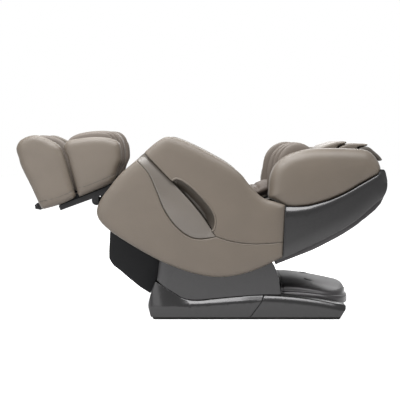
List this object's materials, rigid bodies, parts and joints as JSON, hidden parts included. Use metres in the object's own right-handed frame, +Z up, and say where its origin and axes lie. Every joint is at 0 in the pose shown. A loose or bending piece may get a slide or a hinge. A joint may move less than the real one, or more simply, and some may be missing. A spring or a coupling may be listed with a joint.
{
  "type": "massage chair",
  "caption": "Reclining massage chair with padded arms, ribbed leg and foot rests, rollers in the back and a low skid base, shown fully reclined.",
  "frame": {"origin": "on the floor, under the middle of the chair's length and width", "axes": "+X towards the head end, +Y towards the sitter's right, +Z up"},
  "size_m": [1.8461, 0.775, 0.929],
  "materials": {
    "taupe_leather": "soft grained synthetic leather, satin",
    "ribbed_leather": "ribbed synthetic leather, satin",
    "pad_leather": "dark brown perforated synthetic leather",
    "dark_silver": "metallic dark silver paint, glossy",
    "rear_shell_grey": "warm grey metallic plastic",
    "black_plastic": "black, fine texture",
    "painted_steel": "black powder coat",
    "bright_steel": "ground steel",
    "rubber": "black rubber"
  },
  "bodies": {
    "base": {"base_frame": "painted_steel", "tilt_shaft": "bright_steel", "skid_front_L": "dark_silver", "skid_front_R": "dark_silver", "skid_rear_L": "dark_silver", "skid_rear_R": "dark_silver", "column_shroud_L": "dark_silver", "column_shroud_R": "dark_silver", "foot_strip_L": "rubber", "foot_strip_R": "rubber", "rear_deck": "rear_shell_grey", "power_box": "black_plastic", "tilt_actuator_body": "black_plastic"},
    "rocker": {"power_switch": "rubber"},
    "tilt_rod": {"tilt_actuator_rod": "bright_steel"},
    "seat": {"seat_frame": "painted_steel", "seat_cushion": "pad_leather", "arm_panel_L": "taupe_leather", "arm_panel_R": "taupe_leather", "arm_box_L": "taupe_leather", "arm_box_R": "taupe_leather", "arm_insert_L": "taupe_leather", "arm_insert_R": "taupe_leather", "grip_pocket_L": "pad_leather", "grip_pocket_R": "pad_leather", "recline_shaft": "bright_steel", "leg_shaft": "bright_steel", "underseat_cover": "black_plastic", "recline_actuator_body": "black_plastic", "lift_actuator_body": "black_plastic"},
    "recline_rod": {"recline_actuator_rod": "bright_steel"},
    "lift_rod": {"lift_actuator_rod": "bright_steel"},
    "back": {"back_frame": "painted_steel", "rear_shell": "rear_shell_grey", "side_cover_L": "dark_silver", "side_cover_R": "dark_silver", "shoulder_pod_L": "taupe_leather", "shoulder_pod_R": "taupe_leather", "shoulder_wing_L": "ribbed_leather", "shoulder_wing_R": "ribbed_leather", "back_cushion": "pad_leather", "head_pillow": "taupe_leather"},
    "carriage": {"massage_carriage": "black_plastic"},
    "kneader": {"kneading_unit": "bright_steel"},
    "leg": {"leg_frame": "painted_steel", "calf_pod_L": "taupe_leather", "calf_pod_R": "taupe_leather", "calf_bolster_L": "ribbed_leather", "calf_bolster_R": "ribbed_leather", "calf_pad_L": "pad_leather", "calf_pad_R": "pad_leather", "calf_divider": "ribbed_leather"},
    "leg_roller": {"leg_roller": "rubber"},
    "foot": {"foot_frame": "painted_steel", "boot_shell": "pad_leather", "foot_pod_L": "taupe_leather", "foot_pod_R": "taupe_leather", "foot_divider": "ribbed_leather", "sole_pad": "pad_leather"},
    "foot_wheels": {"foot_wheels": "rubber"}
  },
  "joints": [
    {"name": "seat_tilt", "type": "hinge", "parent": "base", "child": "seat", "pos_m": [-0.048, 0, 0.328], "axis": [0, -1, 0], "range_deg": [0, 20]},
    {"name": "back_recline", "type": "hinge", "parent": "seat", "child": "back", "pos_m": [0.121, 0, 0.57], "axis": [0, -1, 0], "range_deg": [0, 30]},
    {"name": "leg_lift", "type": "hinge", "parent": "seat", "child": "leg", "pos_m": [-0.364, 0, 0.674], "axis": [0, -1, 0], "range_deg": [0, 28]},
    {"name": "foot_extend", "type": "slide", "parent": "leg", "child": "foot", "axis": [-0.9348, 0, -0.3551], "range_m": [0, 0.1], "stiffness_N_per_m": 400, "springref_m": -0.25},
    {"name": "massage_travel", "type": "slide", "parent": "back", "child": "carriage", "axis": [0.9304, 0, 0.3665], "range_m": [-0.22, 0.24]},
    {"name": "kneading_spin", "type": "hinge", "parent": "carriage", "child": "kneader", "pos_m": [0.53092, 0, 0.62077], "axis": [0, 1, 0], "continuous": true},
    {"name": "leg_roller_spin", "type": "hinge", "parent": "leg", "child": "leg_roller", "pos_m": [-0.525, 0, 0.58], "axis": [0, 1, 0], "continuous": true},
    {"name": "foot_wheel_spin", "type": "hinge", "parent": "foot", "child": "foot_wheels", "pos_m": [-0.818, 0, 0.553], "axis": [0, 1, 0], "continuous": true},
    {"name": "rocker_press", "type": "hinge", "parent": "base", "child": "rocker", "pos_m": [0.7605, 0.022, 0.083], "axis": [0, 1, 0], "range_deg": [-7, 7]},
    {"name": "tilt_rod_slide", "type": "slide", "parent": "base", "child": "tilt_rod", "axis": [-0.994, 0, 0.1092], "range_m": [-0.061, 0.002]},
    {"name": "recline_rod_slide", "type": "slide", "parent": "seat", "child": "recline_rod", "axis": [0.5577, 0, 0.83], "range_m": [-0.002, 0.07]},
    {"name": "lift_rod_slide", "type": "slide", "parent": "seat", "child": "lift_rod", "axis": [-0.7568, 0, 0.6536], "range_m": [-0.045, 0.002]}
  ],
  "couplings": [
    {"joint": "tilt_rod_slide", "follows": "seat_tilt", "m_per_rad": -0.1683},
    {"joint": "recline_rod_slide", "follows": "back_recline", "m_per_rad": 0.1286},
    {"joint": "lift_rod_slide", "follows": "leg_lift", "m_per_rad": -0.0882}
  ]
}
